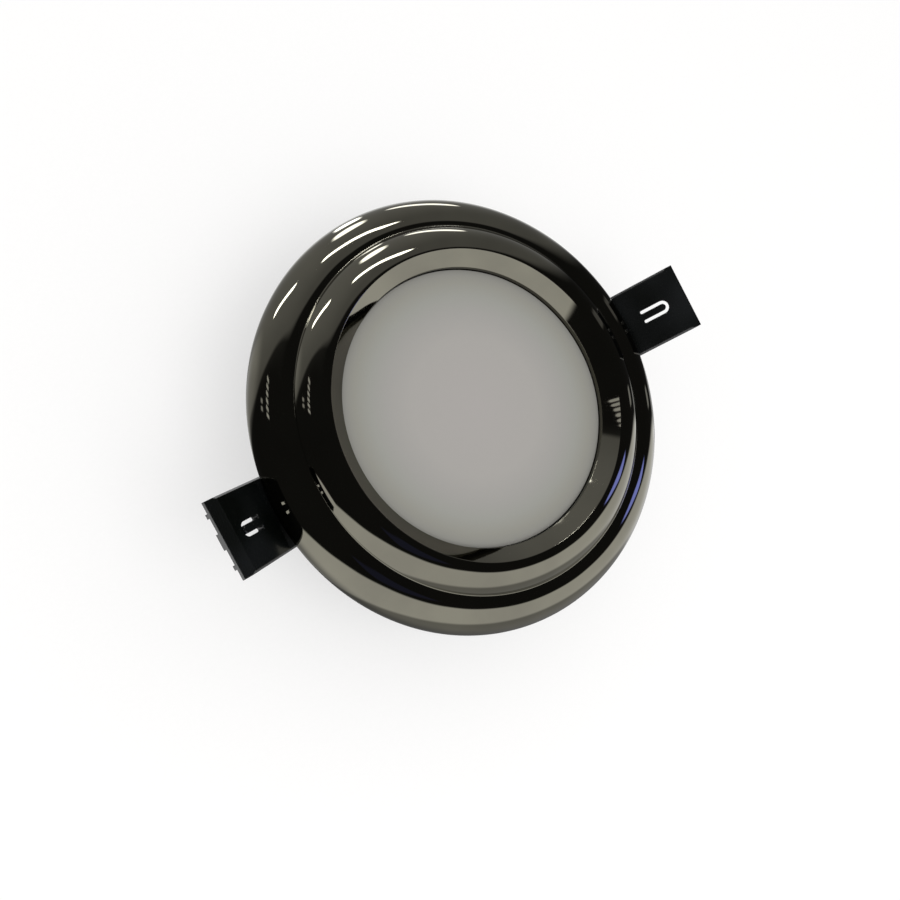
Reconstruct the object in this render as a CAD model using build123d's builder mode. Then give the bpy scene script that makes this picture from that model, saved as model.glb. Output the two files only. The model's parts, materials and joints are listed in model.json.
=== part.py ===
from build123d import *
import math
import os

os.makedirs("parts", exist_ok=True)

# A recessed light in millimetres. Z = 0 is the face of the panel it is let into, +Z is the way it shines,
# and +X points at the right-hand spring clip.

# Trim bezel: two stacked quarter-round beads, a sharp inner edge and a cone down to the lens
trim_radius = 57.15
bead_width = 8.5
bead_height = 7.0
bead_pitch = 8.8
bead_step = 4.4
rim_land = 0.3
crest_round = 0.35
groove_round = 0.35
cone_width = 3.75
cone_depth = 3.4
lip_thickness = 1.9
lip_round = 0.25
trim_wall = 1.6
collar_wall = 2.0
boss_radius = 2.4
boss_gap = 0.3
bezel_screw_count = 4
bezel_screw_angle = 45.0

# Lens, its seal and the reflector that carries it
lens_flange = 2.7
lens_flange_thickness = 1.5
lens_recess = 1.5
lens_gap = 0.2
seal_thickness = 0.5
seal_inset = 0.3
reflector_wall = 1.1
reflector_rim = 1.2
reflector_set_in = 2.5

# Panel side: gasket, clamp ring and the can's lip
gasket_thickness = 1.5
gasket_gap = 0.4
gasket_proud = 0.5
clamp_ring_thickness = 2.0
clamp_ring_inset = 1.55
clamp_ring_gap = 0.2
can_lip_thickness = 1.5
can_lip_overhang = 1.3

# Can
neck_step = 2.5
neck_length = 10.5
relief_depth = 1.0
body_step = 0.7
can_wall = 2.0
collar_seat = 1.0
board_depth = 12.2
floor_thickness = 3.0
part_headroom = 1.0
fin_count = 13
fin_arc = 120.0
fin_groove_width = 2.2
fin_groove_depth = 0.8
fin_margin = 1.5

# Spring clips and their hinges
clip_rest_angle = 43.0
clip_half_width = 9.4
clip_length = 45.0
clip_thickness = 1.8
clip_front = 1.0
clip_edge_bevel = 0.5
clip_stop_gap = 0.3
hinge_inset = 3.3
hinge_pin_radius = 1.0
hinge_clearance = 0.05
knuckle_wall = 1.2
knuckle_side_gap = 0.65
tip_bevel_length = 2.6
tip_front_drop = 1.5
tip_back_drop = 0.4
flange_width = 1.2
flange_depth = 1.4
rib_width = 1.1
rib_depth = 0.6
rib_edge = 3.2
tip_block_width = 3.8
tip_block_length = 4.0
tongue_inset = 13.4
tongue_half_width = 0.98
tongue_slot = 0.85
tongue_length = 8.0
saddle_length = 1.6
hook_length = 1.2
pocket_side_gap = 0.4
pocket_margin = 0.5
ear_width = 2.8
pocket_wall = 2.0

# Torsion springs
spring_wire_radius = 0.45
spring_coil_radius = 2.05
spring_turns = 4
spring_pitch = 1.6
spring_ease = 90.0
spring_seat_gap = 0.3
spring_short_leg = 5.8
spring_leg_reach = 4.4
spring_bend_start = 9.0
spring_bend_end = 22.0
spring_bend_radius = 6.0

# LED board
thermal_pad_thickness = 0.5
thermal_pad_inset = 0.3
led_board_gap = 1.7
led_board_thickness = 1.2
led_length = 3.5
led_width = 2.8
led_height = 0.7
led_inner_count = 6
led_outer_count = 12
led_ring_pitch = 11.0
led_ring_inset = 7.8
board_screw_count = 3
board_screw_edge = 3.7
led_screw_angle = 0.0
driver_screw_angle = 60.0

# Driver board and what stands on it
driver_standoff = 2.0
driver_board_gap = 3.2
driver_board_thickness = 1.6
standoff_radius = 2.6
capacitor_radius = 4.0
capacitor_height = 8.2
capacitor_round = 0.5
choke_radius = 5.0
choke_waist = 3.4
choke_height = 6.5
choke_flange = 1.2
chip_length = 6.2
chip_width = 5.0
chip_height = 1.7
chip_bevel = 0.28
film_length = 11.0
film_width = 5.0
film_height = 7.4
film_round = 0.6
terminal_length = 15.0
terminal_width = 8.5
terminal_height = 8.0
terminal_ways = 3
terminal_hole_radius = 1.3
terminal_hole_depth = 4.2
part_gap = 4.25

# Leads between the two boards
lead_radius = 0.6
lead_spacing = 3.2
lead_edge = 9.0
lead_bend = 4.0
lead_landing = 8.5
lead_hole_radius = 3.0
lead_window_gap = 0.6
lead_window_shift = 1.0
lead_lift = 0.05

# Rear cover, its seal and the cable inlet
cover_thickness = 2.0
cover_seal_thickness = 0.8
cover_seal_width = 1.3
cover_seal_inset = 0.3
cover_post_radius = 3.0
cover_post_overlap = 0.6
cover_screw_count = 4
cover_screw_angle = 45.0
inlet_edge = 20.8
inlet_bore = 2.75
grommet_neck = 5.5
grommet_flange = 7.5
grommet_flange_thickness = 1.0
grommet_gap = 0.2

# Screws, shared by all the small fasteners
screw_radius = 1.0
screw_head_radius = 1.9
screw_head_height = 1.2
screw_hole_gap = 0.2
thread_gap = 0.05
screw_bite = 3.0
post_bite = 6.0
floor_bite = 2.2
screw_tip_gap = 0.1
drive_radius = 0.8
drive_depth = 0.5

# Levels, worked out from the sizes above
base_z = gasket_proud
rim_top_z = base_z + rim_land
outer_crest_z = rim_top_z + bead_height
inner_centre_z = base_z + bead_step
inner_crest_z = inner_centre_z + bead_height
lip_edge_z = inner_crest_z - cone_depth
lip_back_z = lip_edge_z - lip_thickness
lens_flange_z = lip_back_z - seal_thickness
lens_back_z = lens_flange_z - lens_flange_thickness
lens_front_z = lip_edge_z - lens_recess
ring_back_z = gasket_thickness
ring_front_z = ring_back_z + clamp_ring_thickness
can_top_z = ring_front_z + can_lip_thickness
neck_end_z = -neck_length
floor_top_z = -board_depth
floor_back_z = floor_top_z - floor_thickness
led_board_z = floor_top_z + thermal_pad_thickness
led_face_z = led_board_z + led_board_thickness
driver_front_z = floor_back_z - driver_standoff
driver_back_z = driver_front_z - driver_board_thickness
can_end_z = driver_back_z - capacitor_height - part_headroom
cover_front_z = can_end_z - cover_seal_thickness
cover_back_z = cover_front_z - cover_thickness
pocket_top_z = neck_end_z - pocket_margin

# Radii, worked out from the sizes above
outer_bead_radius = trim_radius - bead_width
crest_radius = outer_bead_radius - bead_pitch
aperture_radius = crest_radius - cone_width
lens_radius = aperture_radius + lens_flange
collar_inner = lens_radius + lens_gap
collar_outer = collar_inner + collar_wall
neck_radius = collar_outer + neck_step
body_radius = neck_radius - body_step
can_inner = body_radius - can_wall
can_mouth = collar_outer - collar_seat
relief_radius = neck_radius - relief_depth
can_lip_radius = neck_radius + can_lip_overhang
clamp_ring_bore = neck_radius + clamp_ring_gap
clamp_ring_radius = trim_radius - trim_wall - clamp_ring_inset
bezel_screw_circle = can_lip_radius + boss_gap + boss_radius
gasket_inner = bezel_screw_circle + screw_head_radius + gasket_gap
inlet_offset = body_radius - inlet_edge
cover_screw_circle = can_inner - cover_post_radius + cover_post_overlap
screw_hole = screw_radius + screw_hole_gap
thread_hole = screw_radius + thread_gap

# Hinge: the clip's front face comes to rest just behind the rim's back corner
rest_sin = math.sin(math.radians(clip_rest_angle))
rest_cos = math.cos(math.radians(clip_rest_angle))
hinge_radius = body_radius - hinge_inset
rim_reach = trim_radius - hinge_radius
hinge_z = base_z - (clip_front + clip_stop_gap + rim_reach * rest_sin) / rest_cos
knuckle_radius = hinge_pin_radius + hinge_clearance + knuckle_wall
clip_back = clip_front - clip_thickness
spring_outer = spring_coil_radius + spring_wire_radius
pocket_floor = hinge_radius - spring_outer - spring_seat_gap
pocket_half_width = clip_half_width + pocket_side_gap
ear_half_width = pocket_half_width + ear_width
tongue_start = clip_length - tongue_inset
rib_offset = clip_half_width - rib_edge
spring_long_leg = tongue_start + spring_leg_reach
spring_wind = 90 + clip_rest_angle + 360 * spring_turns
spring_rise = spring_pitch / 360 * (spring_wind - spring_ease)
knuckle_width = clip_half_width - spring_rise / 2 - spring_wire_radius - knuckle_side_gap

# Boards: both fit between the backs of the clip pockets
pocket_back = pocket_floor - pocket_wall
led_board_radius = pocket_back - led_board_gap
driver_board_radius = pocket_back - driver_board_gap
board_screw_circle = driver_board_radius - board_screw_edge
led_outer_circle = board_screw_circle - led_ring_inset
led_inner_circle = led_outer_circle - led_ring_pitch
reflector_base_radius = led_board_radius - reflector_set_in
lead_row = led_board_radius - lead_edge


def hinge_plane(side):
    """Clip's own plane: X along the clip, Z out of its front face. side is 1 on the right, -1 on the left."""
    return Plane(
        origin=(side * hinge_radius, 0, hinge_z),
        x_dir=(side * rest_cos, 0, rest_sin),
        z_dir=(-side * rest_sin, 0, rest_cos),
    )


# Trim bezel: revolved shell with a collar that holds the lens, and bosses for the clamp ring's screws
groove_angle = math.degrees(math.asin((outer_crest_z - inner_centre_z) / bead_height))
shell_width = bead_width - trim_wall
shell_height = bead_height - trim_wall
shell_groove_z = outer_crest_z - trim_wall
shell_groove_angle = math.degrees(math.asin((shell_groove_z - inner_centre_z) / shell_height))
shell_top_angle = math.degrees(math.acos((collar_outer - crest_radius) / shell_width))
with BuildPart() as trim_bezel:
    with BuildSketch(Plane.XZ) as trim_section:
        with BuildLine():
            outer_bead = EllipticalCenterArc(
                (outer_bead_radius, rim_top_z), bead_width, bead_height, 0, arc_size=90
            )
            inner_bead = EllipticalCenterArc(
                (crest_radius, inner_centre_z), bead_width, bead_height, groove_angle,
                arc_size=90 - groove_angle,
            )
            inner_shell = EllipticalCenterArc(
                (crest_radius, inner_centre_z), shell_width, shell_height, shell_top_angle,
                arc_size=shell_groove_angle - shell_top_angle,
            )
            outer_shell = EllipticalCenterArc(
                (outer_bead_radius, rim_top_z), shell_width, shell_height, 90, arc_size=-90
            )
            Line(outer_bead @ 1, inner_bead @ 0)
            Polyline(
                inner_bead @ 1,
                (aperture_radius, lip_edge_z),
                (aperture_radius, lip_back_z),
                (collar_inner, lip_back_z),
                (collar_inner, can_top_z),
                (collar_outer, can_top_z),
                inner_shell @ 0,
            )
            Line(inner_shell @ 1, outer_shell @ 0)
            Polyline(
                outer_shell @ 1,
                (trim_radius - trim_wall, base_z),
                (trim_radius, base_z),
                outer_bead @ 0,
            )
        make_face()
        fillet(trim_section.vertices().sort_by(Axis.Y)[-1], crest_round)
        fillet(trim_section.vertices().sort_by_distance(inner_bead @ 0)[0], groove_round)
        fillet(trim_section.vertices().group_by(Axis.X)[0].sort_by(Axis.Y)[-1], lip_round)
    revolve(axis=Axis.Z)
    with BuildSketch(Plane.XY.offset(ring_front_z)):
        with PolarLocations(bezel_screw_circle, bezel_screw_count, start_angle=bezel_screw_angle):
            Circle(boss_radius)
    extrude(amount=shell_groove_z + trim_wall / 2 - ring_front_z)
    with BuildSketch(Plane.XY.offset(ring_front_z)):
        with PolarLocations(bezel_screw_circle, bezel_screw_count, start_angle=bezel_screw_angle):
            Circle(thread_hole)
    extrude(amount=screw_bite, mode=Mode.SUBTRACT)
trim_bezel.part.label = "trim_bezel"
export_step(trim_bezel.part, "parts/trim_bezel.step")

# Lens seal: flat silicone ring behind the trim's lip
with BuildPart() as lens_seal:
    with BuildSketch(Plane.XY.offset(lens_flange_z)):
        Circle(lens_radius - seal_inset)
        Circle(aperture_radius + seal_inset, mode=Mode.SUBTRACT)
    extrude(amount=seal_thickness)
lens_seal.part.label = "lens_seal"
export_step(lens_seal.part, "parts/lens_seal.step")

# Diffuser lens: frosted disc, its raised centre fills the trim's opening
with BuildPart() as diffuser_lens:
    with BuildSketch(Plane.XY.offset(lens_back_z)):
        Circle(lens_radius)
    extrude(amount=lens_flange_thickness)
    with BuildSketch(Plane.XY.offset(lens_flange_z)):
        Circle(aperture_radius - lens_gap)
    extrude(amount=lens_front_z - lens_flange_z)
diffuser_lens.part.label = "diffuser_lens"
export_step(diffuser_lens.part, "parts/diffuser_lens.step")

# Reflector cup: white cone from the LED board to the lens flange
with BuildPart() as reflector_cup:
    with BuildSketch(Plane.XZ):
        with BuildLine():
            Polyline(
                (reflector_base_radius, led_face_z),
                (reflector_base_radius + reflector_wall, led_face_z),
                (aperture_radius + reflector_wall, lens_back_z - reflector_rim),
                (lens_radius, lens_back_z - reflector_rim),
                (lens_radius, lens_back_z),
                (aperture_radius, lens_back_z),
                close=True,
            )
        make_face()
    revolve(axis=Axis.Z)
reflector_cup.part.label = "reflector_cup"
export_step(reflector_cup.part, "parts/reflector_cup.step")

# Panel gasket: foam ring bonded to the clamp ring
with BuildPart() as panel_gasket:
    with BuildSketch():
        Circle(clamp_ring_radius)
        Circle(gasket_inner, mode=Mode.SUBTRACT)
    extrude(amount=gasket_thickness)
panel_gasket.part.label = "panel_gasket"
export_step(panel_gasket.part, "parts/panel_gasket.step")

# Clamp ring: slides over the can and draws its lip up against the trim's collar
with BuildPart() as clamp_ring:
    with BuildSketch(Plane.XY.offset(ring_back_z)):
        Circle(clamp_ring_radius)
        Circle(clamp_ring_bore, mode=Mode.SUBTRACT)
        with PolarLocations(bezel_screw_circle, bezel_screw_count, start_angle=bezel_screw_angle):
            Circle(screw_hole, mode=Mode.SUBTRACT)
    extrude(amount=clamp_ring_thickness)
clamp_ring.part.label = "clamp_ring"
export_step(clamp_ring.part, "parts/clamp_ring.step")

# Can: turned neck that enters the panel's hole, finned body, heat-sink floor, clip pockets and posts
pocket_length = pocket_top_z - can_end_z
with BuildPart() as housing_can:
    with BuildSketch(Plane.XZ):
        with BuildLine():
            Polyline(
                (can_mouth, can_top_z),
                (can_lip_radius, can_top_z),
                (can_lip_radius, ring_front_z),
                (relief_radius, ring_front_z),
                (relief_radius, 0),
                (neck_radius, 0),
                (neck_radius, neck_end_z),
                (body_radius, neck_end_z),
                (body_radius, can_end_z),
                (can_inner, can_end_z),
                (can_inner, floor_back_z),
                (0, floor_back_z),
                (0, floor_top_z),
                (can_inner, floor_top_z),
                (can_inner, ring_front_z),
                (can_mouth, ring_front_z),
                close=True,
            )
        make_face()
    revolve(axis=Axis.Z)
    with BuildSketch(Plane.XY.offset(can_end_z)):
        with PolarLocations((pocket_back + body_radius) / 2, 2):
            Rectangle(body_radius - pocket_back, 2 * ear_half_width)
        Circle(body_radius - can_wall / 2, mode=Mode.INTERSECT)
    extrude(amount=pocket_length + pocket_wall)
    with BuildSketch(Plane.XY.offset(can_end_z)):
        with PolarLocations(pocket_floor + body_radius / 2, 2):
            Rectangle(body_radius, 2 * pocket_half_width)
    extrude(amount=pocket_length, mode=Mode.SUBTRACT)
    for side in (1, -1):
        with BuildSketch(
            Plane(origin=(side * hinge_radius, -side * ear_half_width, hinge_z), z_dir=(0, side, 0))
        ):
            Circle(hinge_pin_radius)
        extrude(amount=body_radius, mode=Mode.SUBTRACT)
    with BuildSketch(Plane.XY.offset(floor_back_z)):
        with PolarLocations(cover_screw_circle, cover_screw_count, start_angle=cover_screw_angle):
            Circle(cover_post_radius)
    extrude(amount=can_end_z - floor_back_z)
    with BuildSketch(Plane.XY.offset(floor_back_z)):
        with PolarLocations(board_screw_circle, board_screw_count, start_angle=driver_screw_angle):
            Circle(standoff_radius)
    extrude(amount=-driver_standoff)
    with BuildSketch(Plane.XY.offset(can_end_z)):
        with PolarLocations(cover_screw_circle, cover_screw_count, start_angle=cover_screw_angle):
            Circle(thread_hole)
    extrude(amount=post_bite, mode=Mode.SUBTRACT)
    with BuildSketch(Plane.XY.offset(driver_front_z)):
        with PolarLocations(board_screw_circle, board_screw_count, start_angle=driver_screw_angle):
            Circle(thread_hole)
    extrude(amount=driver_standoff + floor_bite, mode=Mode.SUBTRACT)
    with BuildSketch(Plane.XY.offset(floor_top_z)):
        with PolarLocations(board_screw_circle, board_screw_count, start_angle=led_screw_angle):
            Circle(thread_hole)
    extrude(amount=-floor_bite, mode=Mode.SUBTRACT)
    with BuildSketch(Plane.XY.offset(floor_top_z)):
        with Locations((0, lead_row)):
            Circle(lead_hole_radius)
    extrude(amount=-floor_thickness, mode=Mode.SUBTRACT)
    with BuildSketch(Plane.XY.offset(can_end_z + fin_margin)):
        for middle in (90, 270):
            with PolarLocations(
                body_radius, fin_count, start_angle=middle - fin_arc / 2, angular_range=fin_arc, endpoint=True
            ):
                Rectangle(2 * fin_groove_depth, fin_groove_width)
    extrude(amount=neck_end_z - can_end_z - 2 * fin_margin, mode=Mode.SUBTRACT)
housing_can.part.label = "housing_can"
export_step(housing_can.part, "parts/housing_can.step")

# Thermal pad and LED board: discs with holes for the screws and the leads
lead_window = lead_hole_radius + lead_window_gap
lead_window_row = lead_row - lead_window_shift
for name, radius, level, thickness in (
    ("thermal_pad", led_board_radius - thermal_pad_inset, floor_top_z, thermal_pad_thickness),
    ("led_board", led_board_radius, led_board_z, led_board_thickness),
):
    with BuildPart() as disc:
        with BuildSketch(Plane.XY.offset(level)):
            Circle(radius)
            with PolarLocations(board_screw_circle, board_screw_count, start_angle=led_screw_angle):
                Circle(screw_hole, mode=Mode.SUBTRACT)
            with Locations((0, lead_window_row)):
                Circle(lead_window, mode=Mode.SUBTRACT)
        extrude(amount=thickness)
    disc.part.label = name
    export_step(disc.part, f"parts/{name}.step")

# LEDs: two rings of packages soldered to the board
with BuildPart() as led_packages:
    with BuildSketch(Plane.XY.offset(led_face_z)):
        for count, circle in ((led_inner_count, led_inner_circle), (led_outer_count, led_outer_circle)):
            with PolarLocations(circle, count, start_angle=180 / count):
                Rectangle(led_width, led_length)
    extrude(amount=led_height)
led_packages.part.label = "led_packages"
export_step(led_packages.part, "parts/led_packages.step")


def screw_set(name, circle, count, start_angle, seat_z, heading, shank):
    """Like screws on a circle. Heads lie on seat_z, and shanks run the way of heading, 1 up or -1 down."""
    with BuildPart() as screws:
        with BuildSketch(Plane.XY.offset(seat_z)):
            with PolarLocations(circle, count, start_angle=start_angle):
                Circle(screw_radius)
        extrude(amount=heading * shank)
        with BuildSketch(Plane.XY.offset(seat_z)):
            with PolarLocations(circle, count, start_angle=start_angle):
                Circle(screw_head_radius)
        extrude(amount=-heading * screw_head_height)
        with BuildSketch(Plane.XY.offset(seat_z - heading * screw_head_height)):
            with PolarLocations(circle, count, start_angle=start_angle):
                RegularPolygon(drive_radius, 6)
        extrude(amount=heading * drive_depth, mode=Mode.SUBTRACT)
    screws.part.label = name
    export_step(screws.part, f"parts/{name}.step")


# Screws: trim to clamp ring, LED board to floor, driver board to posts, cover to can
bezel_shank = clamp_ring_thickness + screw_bite - screw_tip_gap
led_shank = led_board_thickness + thermal_pad_thickness + floor_bite - screw_tip_gap
driver_shank = driver_board_thickness + driver_standoff + floor_bite - screw_tip_gap
cover_seat_z = cover_back_z + screw_head_height
cover_shank = can_end_z + post_bite - cover_seat_z - screw_tip_gap
screw_set(
    "bezel_screws", bezel_screw_circle, bezel_screw_count, bezel_screw_angle, ring_back_z, 1, bezel_shank
)
screw_set(
    "led_board_screws", board_screw_circle, board_screw_count, led_screw_angle, led_face_z, -1, led_shank
)
screw_set(
    "driver_board_screws", board_screw_circle, board_screw_count, driver_screw_angle, driver_back_z, 1,
    driver_shank,
)
screw_set(
    "rear_cover_screws", cover_screw_circle, cover_screw_count, cover_screw_angle, cover_seat_z, 1,
    cover_shank,
)

# Driver board: disc behind the floor, with holes for its screws
with BuildPart() as driver_board:
    with BuildSketch(Plane.XY.offset(driver_back_z)):
        Circle(driver_board_radius)
        with PolarLocations(board_screw_circle, board_screw_count, start_angle=driver_screw_angle):
            Circle(screw_hole, mode=Mode.SUBTRACT)
    extrude(amount=driver_board_thickness)
driver_board.part.label = "driver_board"
export_step(driver_board.part, "parts/driver_board.step")

# Driver parts: smoothing capacitor, drum choke, switching chip and film capacitor, soldered to the board
driver_face = Plane.XY.offset(driver_back_z)
terminal_row = -inlet_offset + grommet_flange + part_gap + terminal_width / 2
part_row = terminal_row + terminal_width / 2 + part_gap + chip_width / 2
choke_column = -chip_length / 2 - part_gap - choke_radius
film_column = chip_length / 2 + part_gap + film_length / 2
with BuildPart() as driver_capacitor:
    with BuildSketch(driver_face):
        with Locations((choke_column, part_row)):
            Circle(capacitor_radius)
    extrude(amount=-capacitor_height)
    fillet(driver_capacitor.faces().sort_by(Axis.Z)[0].edges(), capacitor_round)
driver_capacitor.part.label = "driver_capacitor"
export_step(driver_capacitor.part, "parts/driver_capacitor.step")

with BuildPart() as driver_choke:
    with Locations((choke_column, terminal_row, driver_back_z)):
        Cylinder(choke_radius, choke_flange, align=(Align.CENTER, Align.CENTER, Align.MAX))
        Cylinder(choke_waist, choke_height, align=(Align.CENTER, Align.CENTER, Align.MAX))
    with Locations((choke_column, terminal_row, driver_back_z - choke_height)):
        Cylinder(choke_radius, choke_flange, align=(Align.CENTER, Align.CENTER, Align.MIN))
driver_choke.part.label = "driver_choke"
export_step(driver_choke.part, "parts/driver_choke.step")

with BuildPart() as driver_chip:
    with BuildSketch(driver_face):
        with Locations((0, part_row)):
            Rectangle(chip_length, chip_width)
    extrude(amount=-chip_height)
    chamfer(driver_chip.faces().sort_by(Axis.Z)[0].edges(), chip_bevel)
driver_chip.part.label = "driver_chip"
export_step(driver_chip.part, "parts/driver_chip.step")

with BuildPart() as driver_film_capacitor:
    with BuildSketch(driver_face):
        with Locations((film_column, part_row)):
            Rectangle(film_length, film_width)
    extrude(amount=-film_height)
    fillet(driver_film_capacitor.edges().filter_by(Axis.Z), film_round)
driver_film_capacitor.part.label = "driver_film_capacitor"
export_step(driver_film_capacitor.part, "parts/driver_film_capacitor.step")

# Terminal block: its wire holes face the cable inlet
with BuildPart() as terminal_block:
    with BuildSketch(driver_face):
        with Locations((terminal_length / 2, terminal_row)):
            Rectangle(terminal_length, terminal_width)
    extrude(amount=-terminal_height)
    with BuildSketch(Plane.XZ.offset(-terminal_row + terminal_width / 2)):
        with Locations((terminal_length / 2, driver_back_z - terminal_height / 2)):
            with GridLocations(terminal_length / terminal_ways, 1, terminal_ways, 1):
                Circle(terminal_hole_radius)
    extrude(amount=-terminal_hole_depth, mode=Mode.SUBTRACT)
terminal_block.part.label = "terminal_block"
export_step(terminal_block.part, "parts/terminal_block.step")

# Leads: up from the driver board, through the floor and over onto the LED board
lead_top_z = led_face_z + lead_radius + lead_lift
for name, side in (("led_lead_red", 1), ("led_lead_black", -1)):
    lead_x = side * lead_spacing / 2
    with BuildPart() as lead:
        with BuildLine() as lead_path:
            FilletPolyline(
                (lead_x, lead_row, driver_front_z),
                (lead_x, lead_row, lead_top_z),
                (lead_x, lead_row - lead_landing, lead_top_z),
                radius=lead_bend,
            )
        with BuildSketch(Plane(origin=lead_path.line @ 0, z_dir=lead_path.line % 0)):
            Circle(lead_radius)
        sweep(path=lead_path.wire())
    lead.part.label = name
    export_step(lead.part, f"parts/{name}.step")


def rear_outline(inset):
    """Outline of the can's back end, drawn in by inset: a circle with a notch at each clip pocket."""
    Circle(body_radius - inset)
    with PolarLocations(pocket_floor - inset + body_radius / 2, 2):
        Rectangle(body_radius, 2 * (pocket_half_width + inset), mode=Mode.SUBTRACT)


# Rear cover seal: thin ring that follows the end of the can's wall
with BuildPart() as rear_cover_seal:
    with BuildSketch(Plane.XY.offset(cover_front_z)):
        rear_outline(cover_seal_inset)
        with BuildSketch(mode=Mode.SUBTRACT):
            rear_outline(cover_seal_inset + cover_seal_width)
    extrude(amount=cover_seal_thickness)
rear_cover_seal.part.label = "rear_cover_seal"
export_step(rear_cover_seal.part, "parts/rear_cover_seal.step")

# Rear cover: flat plate with sunk screw holes and the hole for the cable inlet
head_pocket = screw_head_radius + screw_hole_gap
with BuildPart() as rear_cover:
    with BuildSketch(Plane.XY.offset(cover_back_z)):
        rear_outline(0)
        with PolarLocations(cover_screw_circle, cover_screw_count, start_angle=cover_screw_angle):
            Circle(screw_hole, mode=Mode.SUBTRACT)
        with Locations((0, -inlet_offset)):
            Circle(grommet_neck, mode=Mode.SUBTRACT)
    extrude(amount=cover_thickness)
    with BuildSketch(Plane.XY.offset(cover_back_z)):
        with PolarLocations(cover_screw_circle, cover_screw_count, start_angle=cover_screw_angle):
            Circle(head_pocket)
    extrude(amount=screw_head_height, mode=Mode.SUBTRACT)
    with BuildSketch(Plane.XY.offset(cover_back_z)):
        with Locations((0, -inlet_offset)):
            Circle(grommet_flange + grommet_gap)
    extrude(amount=grommet_flange_thickness + grommet_gap, mode=Mode.SUBTRACT)
rear_cover.part.label = "rear_cover"
export_step(rear_cover.part, "parts/rear_cover.step")

# Cable grommet: rubber bush in the cover, its outer flange sunk below the cover's back
grommet_back_z = cover_back_z + grommet_gap
grommet_seat_z = grommet_back_z + grommet_flange_thickness
with BuildPart() as cable_grommet:
    with BuildSketch(Plane(origin=(0, -inlet_offset, 0), x_dir=(1, 0, 0), z_dir=(0, -1, 0))):
        with BuildLine():
            Polyline(
                (inlet_bore, grommet_back_z),
                (grommet_flange, grommet_back_z),
                (grommet_flange, grommet_seat_z),
                (grommet_neck, grommet_seat_z),
                (grommet_neck, cover_front_z),
                (grommet_flange, cover_front_z),
                (grommet_flange, cover_front_z + grommet_flange_thickness),
                (inlet_bore, cover_front_z + grommet_flange_thickness),
                close=True,
            )
        make_face()
    revolve(axis=Axis((0, -inlet_offset, 0), (0, 0, 1)))
cable_grommet.part.label = "cable_grommet"
export_step(cable_grommet.part, "parts/cable_grommet.step")

# Hinge pins: pressed through the ears on each side of a pocket
for name, side in (("right_hinge_pin", 1), ("left_hinge_pin", -1)):
    with BuildPart() as pin:
        with BuildSketch(
            Plane(origin=(side * hinge_radius, -side * ear_half_width, hinge_z), z_dir=(0, side, 0))
        ):
            Circle(hinge_pin_radius)
        extrude(amount=2 * ear_half_width)
    pin.part.label = name
    export_step(pin.part, f"parts/{name}.step")

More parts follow.
